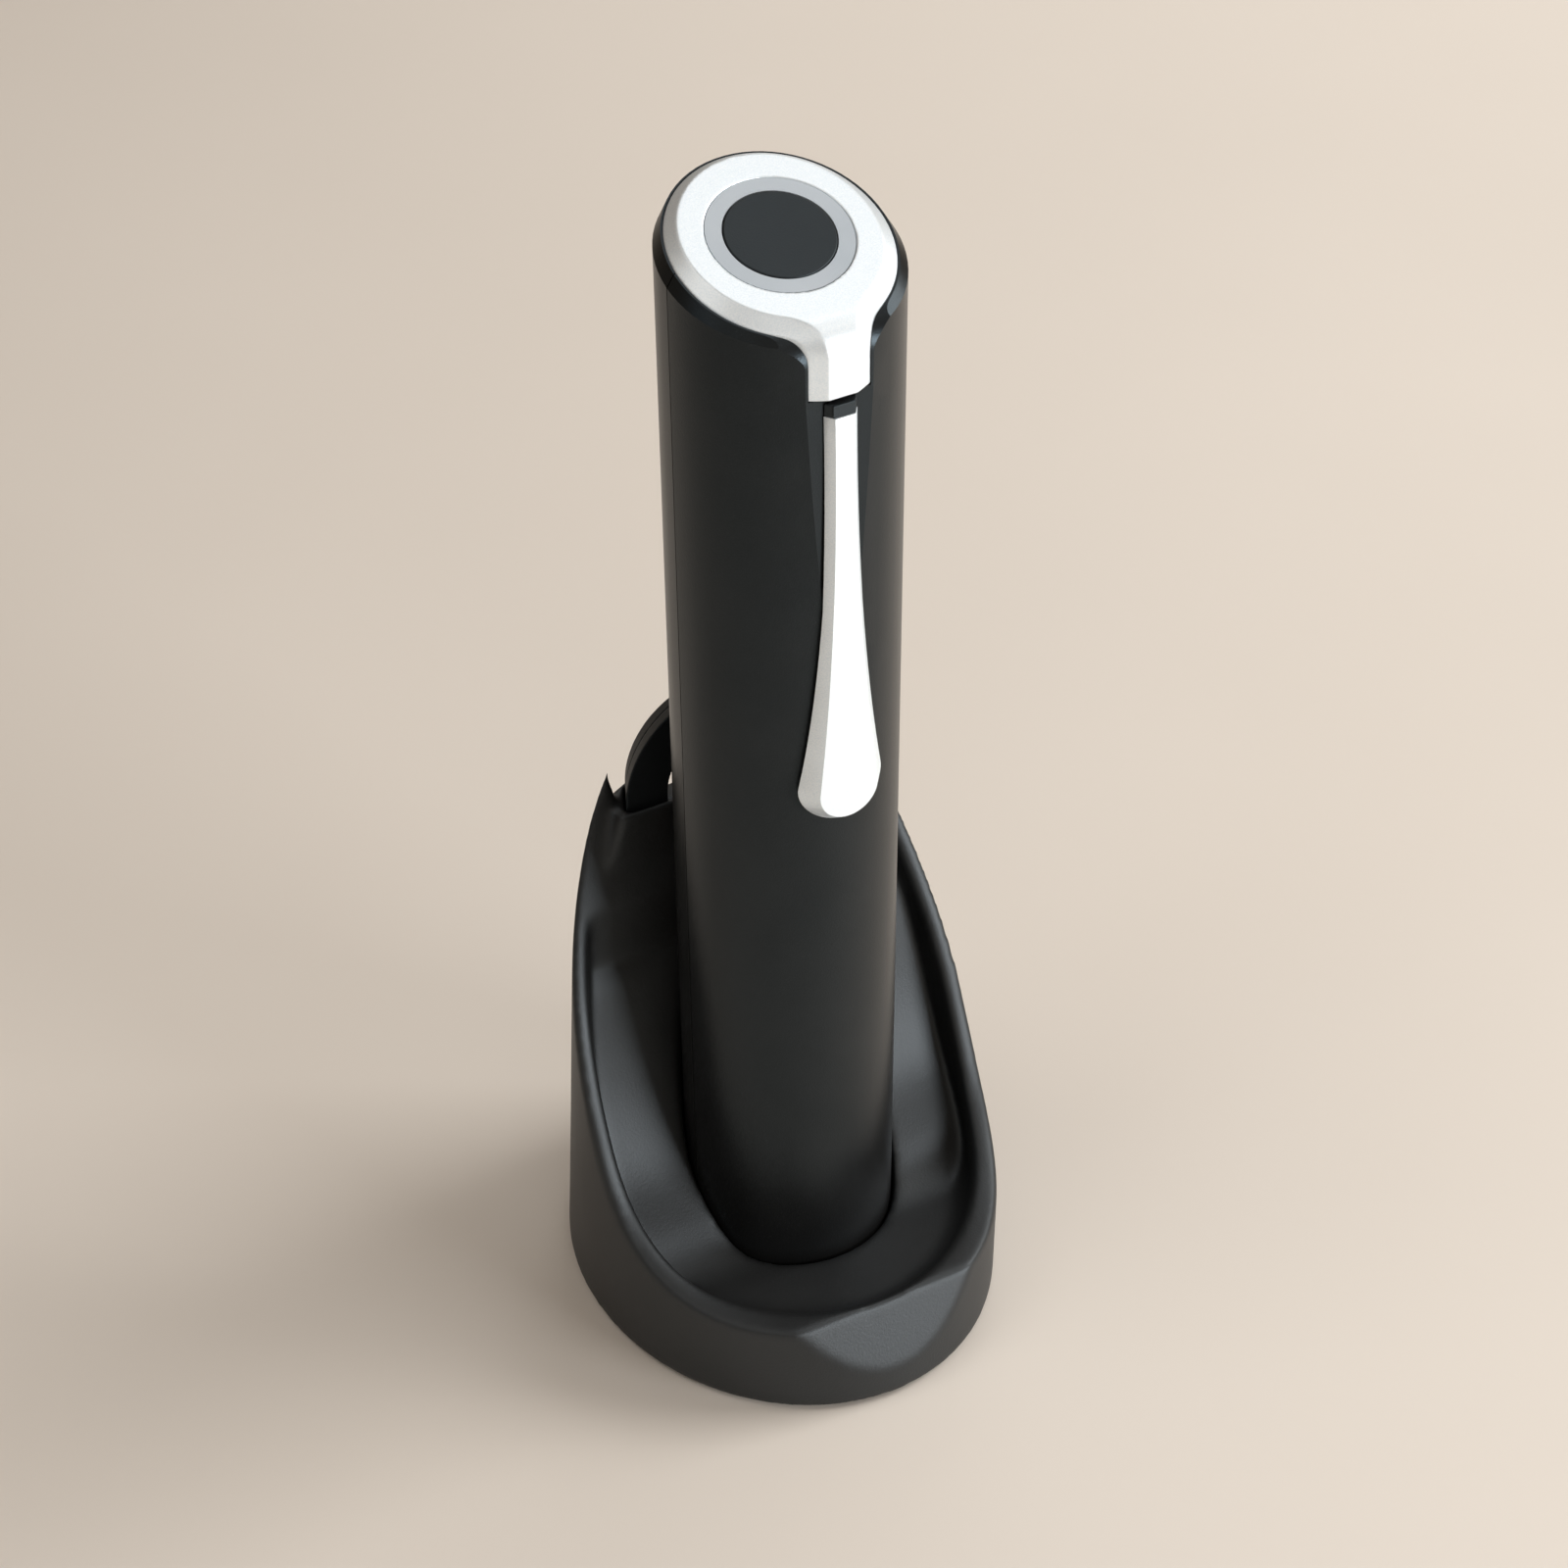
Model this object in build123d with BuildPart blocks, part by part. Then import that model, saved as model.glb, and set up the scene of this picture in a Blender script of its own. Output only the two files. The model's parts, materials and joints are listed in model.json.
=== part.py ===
"""Electric wine opener standing in its scoop-shaped charging stand, with a foil cutter.

Millimetres. +Z is up and -Y is the front. The origin is on the table, at the middle of
the stand's footprint. The opener's tube stands on its own vertical axis inside the stand.
"""
import os
from math import acos, cos, pi, radians, sin, sqrt, tan

from build123d import *

os.makedirs("parts", exist_ok=True)

# Common fits
running_gap = 0.06
loose_gap = 0.30
seat_gap = 0.10
far = 120.0

# Opener's tube: axis, taper and wall
opener_y = -5.1
tube_bottom = 12.0
tube_reference = 292.0
tube_low_r = 24.70
tube_high_r = 25.80
tube_wall = 2.4
seam_gap = 0.24
tongue_depth = 1.5
tongue_wall = 1.1

# Stand, outer wall
stand_half_width = 50.0
stand_half_depth = 59.1
stand_front_lean = 0.019
stand_back_lean = 0.168
stand_side_lean = -0.006
stand_blank_top = 175.0
foot_height = 1.0
stand_wall = 3.0

# Stand, side view of its rim, from the front lip to the high back
rim_lip_z = 26.0
rim_bend_y, rim_bend_z = -31.1, 28.4
rim_knee_y, rim_knee_z = -15.1, 38.9
rim_middle_y, rim_middle_z = -1.1, 63.1
rim_shoulder_y, rim_shoulder_z = 12.9, 94.5
rim_tip_y, rim_tip_z = 27.2, 138.0
rim_end_y, rim_end_z = 36.5, 166.0
rim_flat_z = 139.0
rim_inner_round = 1.6

# Stand, scoop that the opener stands in
scoop_side_wall = 5.0
scoop_front_wall = 7.0
scoop_back_wall = 2.0
scoop_floor = 21.9
scoop_flat_y = -27.0
scoop_knee_y, scoop_knee_z = -13.1, 30.5
scoop_seat_y, scoop_seat_z = -4.1, 40.0
scoop_back_y, scoop_back_z = 14.0, 84.0
scoop_crown_y = 18.6
scoop_round_steps = ((0.0, 4.6), (0.9, 2.4), (2.4, 1.0), (4.6, 0.25), (7.5, 0.0))
socket_gap = 0.45
socket_draft = 0.22
cup_wall = 2.4

# Stand, back rest in front of the foil cutter
rest_low = 98.0
rest_shoulder = 115.0
rest_front_y = 20.4
rest_depth = 5.6
rest_half_low = 33.5
rest_half_high = 28.5

# Stand, facet on the front wall
facet_top_y, facet_top_z = -51.2, 27.0
facet_foot_y, facet_foot_z = -58.9, 9.2

# Stand, bottom plate, feet and screws
plate_thickness = 2.4
plate_gap = 0.25
boss_angle = radians(27.6)
boss_inset = 4.15
boss_r = 5.0
boss_height = 14.0
screw_r = 1.25
screw_head_r = 2.6
screw_head_height = 1.6
screw_length = 11.0
foot_r = 6.0
foot_recess = 0.6
foot_angle = radians(47.0)
foot_inset = 5.5

# Stand, charging parts
board_thickness = 1.6
charge_board_size = (34.0, 20.0)
charge_board_inset = 18.1
jack_width, jack_length, jack_height = 9.0, 12.0, 9.0
jack_bore_r = 2.8
jack_pin_r = 1.0
jack_nose_r = 3.9
contact_x = 20.3
contact_recess = 0.8
contact_r = 2.4
contact_thickness = 0.5
pin_r = 1.1
pin_flange_r = 1.70
pin_flange_height = 0.9
pin_bore_r = 2.0
block_overhang = 4.0
block_floor = 0.5
spring_wire_r = 0.25
pin_spring_r = 1.2
pin_spring_pitch = 1.0

# Foil cutter
cutter_front_y = 22.5
cutter_thickness = 9.0
cutter_front_r = 26.4
cutter_back_r = 22.2
cutter_mouth_r = 15.5
cutter_z = 131.0
cutter_leg = 23.0
notch_floor = 130.0
notch_half_low = 26.9
notch_half_high = 28.0
thumb_half = 14.0
thumb_floor = 120.5
wheel_r = 3.9
wheel_thickness = 0.8
wheel_circle_r = 18.3
wheel_angles = (35.0, 145.0)
wheel_leg_drop = 10.0
wheel_pin_r = 1.0
wheel_room = 0.35

# Silver cap, light ring and disc
cap_tilt = 18.8
cap_z = 287.7
cap_r = 23.6
cap_front_y = -26.2
cap_bend_r = 8.0
tail_bottom = 263.6
tail_half_width = 5.5
tail_flare_r = 10.0
tail_seat_y = -24.5
tail_root_y = -23.9
cap_chamfer_top = 2.8
cap_chamfer_side = 2.2
rim_axis_z = 282.6
rim_tilt = 14.8
rim_bend_r = 12.0
cap_skirt = 2.6
rim_edge_drop = 2.3
rim_edge_step = 0.4
cap_gap = 0.10
ring_outer_r = 15.4
ring_inner_r = 11.9
ring_depth = 4.5
ring_sink = 0.15
ring_ledge = 1.4
disc_r = 11.66
disc_depth = 2.5
led_circle_r = 13.0
led_count = 6
led_size = 2.0
led_height = 0.8

# Lever and its switch
lever_top = 259.5
lever_length = 100.9
lever_top_y = -26.9
lever_foot_y = -29.2
lever_root_y = -22.5
lever_slope = 0.75
lever_half_top = 2.3
lever_stem_drop, lever_half_stem = 47.0, 3.2
lever_neck_drop, lever_half_neck = 66.5, 4.4
lever_spoon_drop, lever_half_spoon = 92.5, 6.9
lever_gap_top = 0.3
lever_gap_foot = 1.55
lever_groove = 1.2
channel_foot_z = 185.0
hinge_y, hinge_z = -21.0, 255.0
hinge_pin_r = 1.0
hinge_pin_length = 11.0
knuckle_r = 2.6
knuckle_half = 2.6
carrier_head_top = 262.4
carrier_half = 3.8
ear_thickness = 2.2
window_gap = 0.4
post_r = 2.0
post_rise = 13.4
post_end_y = -20.4
switch_size = 6.0
switch_depth = 3.0
button_r = 1.6
button_travel = 0.7

# Boards and cells in the tube
control_y = -15.0
control_half_width = 12.0
control_margin = 7.0
control_high = 246.0
rib_half_gap = 10.0
rib_thickness = 2.0
cell_r = 7.1
cell_length = 50.5
cell_circle_r = 8.4
cell_low = 191.0
cell_tip = 1.0
holder_thickness = 3.0
holder_lip = 6.0
holder_wall = 1.2

# Motor and gearbox
gear_module = 0.7
sun_teeth = 12
planet_teeth = 18
ring_teeth = 48
planet_count = 3
addendum = 0.8
dedendum = 1.1
backlash = 0.16
pressure = radians(20.0)
gear_width = 7.0
stage_gap = 0.3
carrier_plate = 3.0
planet_pin_r = 1.5
gearbox_low = 110.0
gearbox_length = 28.0
gearbox_wall_r = 20.5
cover_thickness = 4.0
motor_plate = 3.0
motor_r = 13.85
motor_can_length = 31.0
motor_cap_length = 6.0
motor_shaft_r = 1.15
motor_boss_r = 5.0
motor_boss_height = 2.0
gearbox_screw_circle = 18.9
gearbox_screw_r = 0.9
gearbox_screw_count = 4

# Output, worm and the bottle's guides
output_r = 4.0
bush_r = 6.0
bush_length = 6.0
bush_flange = 1.0
chuck_r = 6.5
chuck_length = 9.0
worm_wire_r = 1.35
worm_r = 3.3
worm_pitch = 9.0
worm_turns = 5.5
worm_grip = 3.0
sleeve_r = 18.0
sleeve_bore_r = 14.5
sleeve_rib = 1.5
sleeve_rib_count = 4
sleeve_flange = 3.0
guide_top = 42.0
guide_mouth_r = 16.2
guide_throat_r = 15.0
guide_stop_r = 12.5
guide_wall = 2.0
collar_lip = 3.0
collar_height = 8.0
inner_gap = 0.20
shell_boss_x = 17.0
shell_boss_r = 2.8
shell_boss_heights = (182.5, 262.0)
shell_screw_length = 14.0


def tube_r(z):
    """Outer radius of the tapered tube at a height."""
    share = (z - tube_bottom) / (tube_reference - tube_bottom)
    return tube_low_r + (tube_high_r - tube_low_r) * share


def on_axis(z):
    """Level plane on the opener's axis."""
    return Plane((0, opener_y, z))


def write_piece(piece, name):
    """Label a finished piece and write it to its own file."""
    piece.part.label = name
    export_step(piece.part, f"parts/{name}.step")


def stand_section(z, side, front, back):
    """Level section of the stand's wall, moved inwards by three insets."""
    front_y = -stand_half_depth + stand_front_lean * z + front
    back_y = stand_half_depth - stand_back_lean * z - back
    half_x = stand_half_width - stand_side_lean * z - side
    place = Plane((0, (front_y + back_y) / 2, z), x_dir=(0, 1, 0))
    with BuildSketch(place) as section:
        Ellipse((back_y - front_y) / 2, half_x)
    return section.sketch


def wall_share(point):
    """How far out a point lies in its level section of the stand: 1 is on the outer wall."""
    front_y = -stand_half_depth + stand_front_lean * point.Z
    back_y = stand_half_depth - stand_back_lean * point.Z
    half_x = stand_half_width - stand_side_lean * point.Z
    along = (2 * point.Y - front_y - back_y) / (back_y - front_y)
    return along**2 + (point.X / half_x) ** 2


def tube_cone(low, high, inset):
    """Conical slice of the tube, moved inwards by an inset, as a loft pair."""
    sections = []
    for z in (low, high):
        with BuildSketch(on_axis(z)) as section:
            Circle(tube_r(z) - inset)
        sections.append(section.sketch)
    return sections


def involute_gear(teeth, outwards, inwards, thinning, turn):
    """Outline of an involute gear: outwards and inwards are measured from the pitch circle."""
    pitch_r = gear_module * teeth / 2
    base_r = pitch_r * cos(pressure)
    tip_r = pitch_r + outwards
    root_r = pitch_r - inwards
    half_pitch = pi / (2 * teeth) - thinning / (2 * pitch_r)
    involute_at_pitch = tan(pressure) - pressure
    start_r = max(base_r, root_r)
    flank = []
    for step in range(4):
        r = start_r + (tip_r - start_r) * step / 3
        angle = acos(base_r / r)
        flank.append((r, half_pitch + involute_at_pitch - (tan(angle) - angle)))
    if root_r < base_r:
        flank.insert(0, (root_r, flank[0][1]))
    points = []
    for tooth in range(teeth):
        middle = 2 * pi * tooth / teeth + radians(turn)
        for r, half in flank:
            points.append((r * cos(middle - half), r * sin(middle - half)))
        for r, half in reversed(flank):
            points.append((r * cos(middle + half), r * sin(middle + half)))
    with BuildSketch() as outline:
        with BuildLine():
            Polyline(*points, close=True)
        make_face()
    return outline.sketch


def coil_path(radius, pitch, turns, start, upright=(0, 0, 1), across=(1, 0, 0)):
    """Tangent arcs, two to each quarter turn, that follow a helix from its start."""
    axis = Vector(upright)
    first = Vector(across)
    second = axis.cross(first)
    origin = Vector(start)
    rise = pitch / (2 * pi)

    def point(angle):
        return origin + first * (radius * cos(angle)) + second * (radius * sin(angle)) + axis * (rise * angle)

    def heading(angle):
        return (second * (radius * cos(angle)) - first * (radius * sin(angle)) + axis * rise).normalized()

    arcs = []
    quarters = round(4 * turns)
    for quarter in range(quarters):
        begin, end = quarter * pi / 2, (quarter + 1) * pi / 2
        p0, p1, t0, t1 = point(begin), point(end), heading(begin), heading(end)
        chord, both = p1 - p0, t0 + t1
        bend = 2 * (1 - t0.dot(t1))
        reach = (sqrt(chord.dot(both) ** 2 + bend * chord.dot(chord)) - chord.dot(both)) / bend
        knee0, knee1 = p0 + t0 * reach, p1 - t1 * reach
        middle = (knee0 + knee1) * 0.5
        with BuildLine() as pair:
            TangentArc(p0, middle, tangent=t0)
            TangentArc(middle, p1, tangent=(knee1 - knee0).normalized())
        arcs.extend(pair.edges())
    return Wire(arcs)


def coil_section(path, wire_r):
    """Round wire section at the start of a path."""
    with BuildSketch(Plane(origin=path @ 0, z_dir=path % 0)) as section:
        Circle(wire_r)
    return section.sketch


# Stand: scoop space, then the shell round it
with BuildPart() as scoop_space:
    wall_sections = []
    for rise, inset in scoop_round_steps:
        z = scoop_floor + rise
        wall_sections.append(
            stand_section(z, scoop_side_wall + inset, scoop_front_wall + inset, scoop_back_wall + inset)
        )
    wall_sections.append(stand_section(stand_blank_top, scoop_side_wall, scoop_front_wall, scoop_back_wall))
    loft(wall_sections, ruled=True)
    with BuildSketch(Plane.YZ):
        with BuildLine():
            scoop_flat = Line((-far, scoop_floor), (scoop_flat_y, scoop_floor))
            scoop_curve = Spline(
                scoop_flat @ 1,
                (scoop_knee_y, scoop_knee_z),
                (scoop_seat_y, scoop_seat_z),
                (scoop_back_y, scoop_back_z),
                (scoop_crown_y, stand_blank_top + loose_gap),
                tangents=[(1, 0), (0.02, 1)],
            )
            Polyline(scoop_curve @ 1, (-far, stand_blank_top + loose_gap), scoop_flat @ 0)
        make_face()
    extrude(amount=far, both=True, mode=Mode.INTERSECT)

facet_run = (facet_top_y - facet_foot_y) / (facet_top_z - facet_foot_z)
boss_x = (stand_half_width - stand_wall) * cos(boss_angle) - boss_inset
boss_y = (stand_half_depth - stand_wall) * sin(boss_angle)
plate_inset = stand_wall + plate_gap
foot_x = (stand_half_width - plate_inset) * cos(foot_angle) - foot_inset
foot_y = (stand_half_depth - plate_inset) * sin(foot_angle) - foot_inset
charge_board_y = stand_half_depth - charge_board_inset
ceiling = scoop_floor - stand_wall
plate_top = foot_height + plate_thickness
cup_floor = tube_bottom - seat_gap
cup_r = tube_r(tube_bottom) + socket_gap
hollow_top = notch_floor - cutter_leg - 4 * stand_wall
pocket_low = cutter_z - cutter_leg - loose_gap
board_top = plate_top + board_thickness
jack_z = board_top + jack_height / 2
back_at_jack = stand_half_depth - stand_back_lean * jack_z

with BuildPart() as base_shell:
    loft([stand_section(foot_height, 0, 0, 0), stand_section(stand_blank_top, 0, 0, 0)], ruled=True)
    with BuildSketch(Plane.YZ):
        with BuildLine():
            rim_curve = Spline(
                (-far, rim_lip_z),
                (-stand_half_depth, rim_lip_z),
                (rim_bend_y, rim_bend_z),
                (rim_knee_y, rim_knee_z),
                (rim_middle_y, rim_middle_z),
                (rim_shoulder_y, rim_shoulder_z),
                (rim_tip_y, rim_tip_z),
                (rim_end_y, rim_end_z),
            )
            Polyline(rim_curve @ 1, (rim_end_y, 2 * stand_blank_top), (-far, 2 * stand_blank_top), rim_curve @ 0)
        make_face()
    extrude(amount=far, both=True, mode=Mode.SUBTRACT)
    add(scoop_space.part, mode=Mode.SUBTRACT)
    # Round between the rim and the scoop
    inner_rim = []
    for edge in base_shell.edges():
        middle = edge.position_at(0.5)
        if rim_curve.distance_to(Vertex(middle.Y, middle.Z)) < seat_gap and wall_share(middle) < 1 - seat_gap / 4:
            inner_rim.append(edge)
    fillet(inner_rim, rim_inner_round)
    # Back rest between the opener and the foil cutter
    with BuildSketch(Plane((0, rest_front_y, 0), x_dir=(1, 0, 0), z_dir=(0, -1, 0))):
        with BuildLine():
            Polyline(
                (-rest_half_low, rest_low),
                (rest_half_low, rest_low),
                (rest_half_low, rest_shoulder),
                (rest_half_high, notch_floor),
                (-rest_half_high, notch_floor),
                (-rest_half_low, rest_shoulder),
                close=True,
            )
        make_face()
    extrude(amount=-rest_depth)
    # Flat tips of the rim
    with BuildSketch(Plane.XY.offset(rim_flat_z)):
        Rectangle(2 * far, 2 * far)
    extrude(amount=stand_blank_top, mode=Mode.SUBTRACT)
    # Planar facet across the front wall
    with BuildSketch(Plane.YZ):
        with BuildLine():
            Polyline(
                (facet_foot_y - facet_run * facet_foot_z, 0),
                (facet_top_y + facet_run * facet_top_z, 2 * facet_top_z),
                (-far, 2 * facet_top_z),
                (-far, 0),
                close=True,
            )
        make_face()
    extrude(amount=far, both=True, mode=Mode.SUBTRACT)
    # Notch in the high back, and the pocket for the foil cutter's legs
    with BuildSketch(Plane.XZ):
        with BuildLine():
            Polyline(
                (-notch_half_low, notch_floor),
                (notch_half_low, notch_floor),
                (notch_half_high, rim_tip_z),
                (notch_half_high, 2 * stand_blank_top),
                (-notch_half_high, 2 * stand_blank_top),
                (-notch_half_high, rim_tip_z),
                close=True,
            )
        make_face()
    extrude(amount=-far, mode=Mode.SUBTRACT)
    for z in (pocket_low, notch_floor + loose_gap):
        with BuildSketch(Plane((0, cutter_front_y, z))):
            with BuildLine():
                Polyline(
                    (-cutter_front_r - loose_gap, -loose_gap),
                    (cutter_front_r + loose_gap, -loose_gap),
                    (cutter_back_r + loose_gap, cutter_thickness + loose_gap),
                    (-cutter_back_r - loose_gap, cutter_thickness + loose_gap),
                    close=True,
                )
            make_face()
    loft(ruled=True, mode=Mode.SUBTRACT)
    # Thumb notch behind the foil cutter
    with BuildSketch(Plane((0, cutter_front_y + cutter_thickness, thumb_floor))):
        with Locations((0, far / 2)):
            Rectangle(2 * thumb_half, far)
    extrude(amount=far, mode=Mode.SUBTRACT)
    # Hollow underside, leaving the cup that the opener stands in and four screw bosses
    with BuildPart(mode=Mode.PRIVATE) as hollow:
        loft(
            [
                stand_section(foot_height, stand_wall, stand_wall, stand_wall),
                stand_section(stand_blank_top, stand_wall, stand_wall, stand_wall),
            ],
            ruled=True,
        )
        with BuildSketch(Plane.YZ):
            with BuildLine():
                Polyline(
                    (facet_foot_y + 1.2 * stand_wall - facet_run * facet_foot_z, 0),
                    (facet_foot_y + 1.2 * stand_wall + facet_run * (ceiling - facet_foot_z), ceiling),
                    (scoop_flat_y, ceiling),
                    (scoop_knee_y + stand_wall, scoop_knee_z - stand_wall),
                    (scoop_seat_y + stand_wall, scoop_seat_z - stand_wall),
                    (scoop_back_y + 2 * stand_wall, scoop_back_z - 4 * stand_wall),
                    (scoop_back_y + 2 * stand_wall, hollow_top),
                    (far, hollow_top),
                    (far, 0),
                    close=True,
                )
            make_face()
        extrude(amount=far, both=True, mode=Mode.INTERSECT)
        with BuildSketch(on_axis(cup_floor - cup_wall)):
            Circle(cup_r + cup_wall)
        extrude(amount=far, mode=Mode.SUBTRACT)
        with BuildSketch(Plane.XY.offset(plate_top)):
            with GridLocations(2 * boss_x, 2 * boss_y, 2, 2):
                Circle(boss_r)
        extrude(amount=boss_height, mode=Mode.SUBTRACT)
    add(hollow.part, mode=Mode.SUBTRACT)
    # Socket bore, pin holes, screw holes and the inlet's hole
    with BuildSketch(on_axis(cup_floor)):
        Circle(cup_r)
    extrude(amount=far, taper=-socket_draft, mode=Mode.SUBTRACT)
    with BuildSketch(on_axis(cup_floor - cup_wall)):
        with GridLocations(2 * contact_x, 1, 2, 1):
            Circle(pin_r + running_gap)
    extrude(amount=cup_wall, mode=Mode.SUBTRACT)
    with BuildSketch(Plane.XY.offset(plate_top)):
        with GridLocations(2 * boss_x, 2 * boss_y, 2, 2):
            Circle(screw_r + running_gap)
    extrude(amount=screw_length, mode=Mode.SUBTRACT)
    with BuildSketch(Plane((0, back_at_jack, jack_z), x_dir=(1, 0, 0), z_dir=(0, 1, 0))):
        Circle(jack_nose_r + loose_gap)
    extrude(amount=2 * stand_wall, both=True, mode=Mode.SUBTRACT)
write_piece(base_shell, "base_shell")


# Stand: bottom plate with its feet and screws
with BuildPart() as base_bottom_plate:
    loft(
        [
            stand_section(foot_height, plate_inset, plate_inset, plate_inset),
            stand_section(plate_top, plate_inset, plate_inset, plate_inset),
        ],
        ruled=True,
    )
    with BuildSketch(Plane.XY.offset(foot_height)):
        with GridLocations(2 * boss_x, 2 * boss_y, 2, 2):
            Circle(screw_r + running_gap)
    extrude(amount=plate_thickness, mode=Mode.SUBTRACT)
    with BuildSketch(Plane.XY.offset(foot_height)):
        with GridLocations(2 * boss_x, 2 * boss_y, 2, 2):
            Circle(screw_head_r + loose_gap)
    extrude(amount=screw_head_height, mode=Mode.SUBTRACT)
    with BuildSketch(Plane.XY.offset(foot_height)):
        with GridLocations(2 * foot_x, 2 * foot_y, 2, 2):
            Circle(foot_r + seat_gap)
    extrude(amount=foot_recess, mode=Mode.SUBTRACT)
write_piece(base_bottom_plate, "base_bottom_plate")

with BuildPart() as base_screws:
    with BuildSketch(Plane.XY.offset(foot_height)):
        with GridLocations(2 * boss_x, 2 * boss_y, 2, 2):
            Circle(screw_head_r)
    extrude(amount=screw_head_height)
    with BuildSketch(Plane.XY.offset(foot_height)):
        with GridLocations(2 * boss_x, 2 * boss_y, 2, 2):
            Rectangle(screw_head_r, screw_head_height / 2)
            Rectangle(screw_head_height / 2, screw_head_r)
    extrude(amount=screw_head_height / 2, mode=Mode.SUBTRACT)
    with BuildSketch(Plane.XY.offset(foot_height + screw_head_height)):
        with GridLocations(2 * boss_x, 2 * boss_y, 2, 2):
            Circle(screw_r)
    extrude(amount=screw_length)
write_piece(base_screws, "base_screws")

with BuildPart() as rubber_feet:
    with BuildSketch(Plane.XY):
        with GridLocations(2 * foot_x, 2 * foot_y, 2, 2):
            Circle(foot_r)
    extrude(amount=foot_height + foot_recess)
    fillet(rubber_feet.edges().group_by(Axis.Z)[0], foot_recess)
write_piece(rubber_feet, "rubber_feet")

# Stand: charging board, inlet, and the sprung pins under the cup
with BuildPart() as charging_board:
    with BuildSketch(Plane((0, charge_board_y, plate_top))):
        Rectangle(*charge_board_size)
    extrude(amount=board_thickness)
write_piece(charging_board, "charging_board")

jack_back = back_at_jack - 2 * stand_wall
with BuildPart() as dc_jack:
    with BuildSketch(Plane((0, jack_back - jack_length / 2, board_top))):
        Rectangle(jack_width, jack_length)
    extrude(amount=jack_height)
    jack_face = Plane((0, jack_back, jack_z), x_dir=(1, 0, 0), z_dir=(0, 1, 0))
    with BuildSketch(jack_face):
        Circle(jack_nose_r)
    extrude(amount=2 * stand_wall - loose_gap)
    with BuildSketch(jack_face.offset(-jack_length / 2)):
        Circle(jack_bore_r)
        Circle(jack_pin_r, mode=Mode.SUBTRACT)
    extrude(amount=jack_length, mode=Mode.SUBTRACT)
write_piece(dc_jack, "dc_jack")

block_top = cup_floor - cup_wall - seat_gap
pin_tip = tube_bottom + contact_recess - seat_gap
flange_low = block_top - 2 * pin_flange_height / 2 - seat_gap
spring_low = plate_top + block_floor
spring_turns = round(4 * (flange_low - spring_low - 2 * spring_wire_r) / pin_spring_pitch) / 4
with BuildPart() as contact_block:
    with BuildSketch(on_axis(plate_top)):
        Rectangle(2 * (contact_x + block_overhang), 2 * block_overhang)
    extrude(amount=block_top - plate_top)
    with BuildSketch(on_axis(spring_low)):
        with GridLocations(2 * contact_x, 1, 2, 1):
            Circle(pin_bore_r)
    extrude(amount=block_top, mode=Mode.SUBTRACT)
write_piece(contact_block, "contact_block")

for side, x in (("left", -contact_x), ("right", contact_x)):
    with BuildPart() as charging_pin:
        with BuildSketch(Plane((x, opener_y, flange_low))):
            Circle(pin_flange_r)
        extrude(amount=pin_flange_height)
        with BuildSketch(Plane((x, opener_y, flange_low))):
            Circle(pin_r)
        extrude(amount=pin_tip - flange_low)
        fillet(charging_pin.edges().group_by(Axis.Z)[-1], pin_r / 3)
    write_piece(charging_pin, f"charging_pin_{side}")
    rise_per_turn = (flange_low - spring_low - 2 * spring_wire_r) / spring_turns
    pin_coil = coil_path(pin_spring_r, rise_per_turn, spring_turns, (x, opener_y, spring_low + spring_wire_r))
    with BuildPart() as pin_spring:
        sweep(sections=coil_section(pin_coil, spring_wire_r), path=pin_coil)
    write_piece(pin_spring, f"pin_spring_{side}")

# Foil cutter: two halves of a horseshoe, four wheels on pins between them
cutter_middle_y = cutter_front_y + cutter_thickness / 2


def cutter_face(y):
    """Plane across the foil cutter, with local X to the right and local Y up."""
    return Plane((0, y, cutter_z), x_dir=(1, 0, 0), z_dir=(0, -1, 0))


def cutter_outline(y, radius):
    """Horseshoe's outside: a half circle on two straight legs."""
    with BuildSketch(cutter_face(y)) as outline:
        with BuildLine():
            arch = ThreePointArc((radius, 0), (0, radius), (-radius, 0))
            Polyline(arch @ 1, (-radius, -cutter_leg), (radius, -cutter_leg), arch @ 0)
        make_face()
    return outline.sketch


wheel_spots = [
    (wheel_circle_r * cos(radians(angle)), wheel_circle_r * sin(radians(angle))) for angle in wheel_angles
]
wheel_spots += [(-wheel_circle_r, -wheel_leg_drop), (wheel_circle_r, -wheel_leg_drop)]
cutter_middle_r = (cutter_front_r + cutter_back_r) / 2
cutter_half = cutter_thickness / 2
pin_half_length = cutter_half * 2 / 3
halves = (
    ("cutter_front_half", cutter_front_y, cutter_front_r, cutter_middle_y, cutter_middle_r),
    ("cutter_rear_half", cutter_middle_y, cutter_middle_r, cutter_front_y + cutter_thickness, cutter_back_r),
)
for name, near_y, near_r, away_y, away_r in halves:
    with BuildPart() as cutter_piece:
        loft([cutter_outline(near_y, near_r), cutter_outline(away_y, away_r)], ruled=True)
        with BuildSketch(cutter_face(cutter_middle_y)):
            Circle(cutter_mouth_r)
            with Locations((0, -cutter_leg)):
                Rectangle(2 * cutter_mouth_r, 2 * cutter_leg)
        extrude(amount=cutter_thickness, both=True, mode=Mode.SUBTRACT)
        with BuildSketch(cutter_face(cutter_middle_y)):
            with Locations(*wheel_spots):
                Circle(wheel_r + wheel_room)
        extrude(amount=wheel_thickness / 2 + wheel_room, both=True, mode=Mode.SUBTRACT)
        with BuildSketch(cutter_face(cutter_middle_y)):
            with Locations(*wheel_spots):
                Circle(wheel_pin_r + running_gap)
        extrude(amount=pin_half_length, both=True, mode=Mode.SUBTRACT)
    write_piece(cutter_piece, name)

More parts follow.
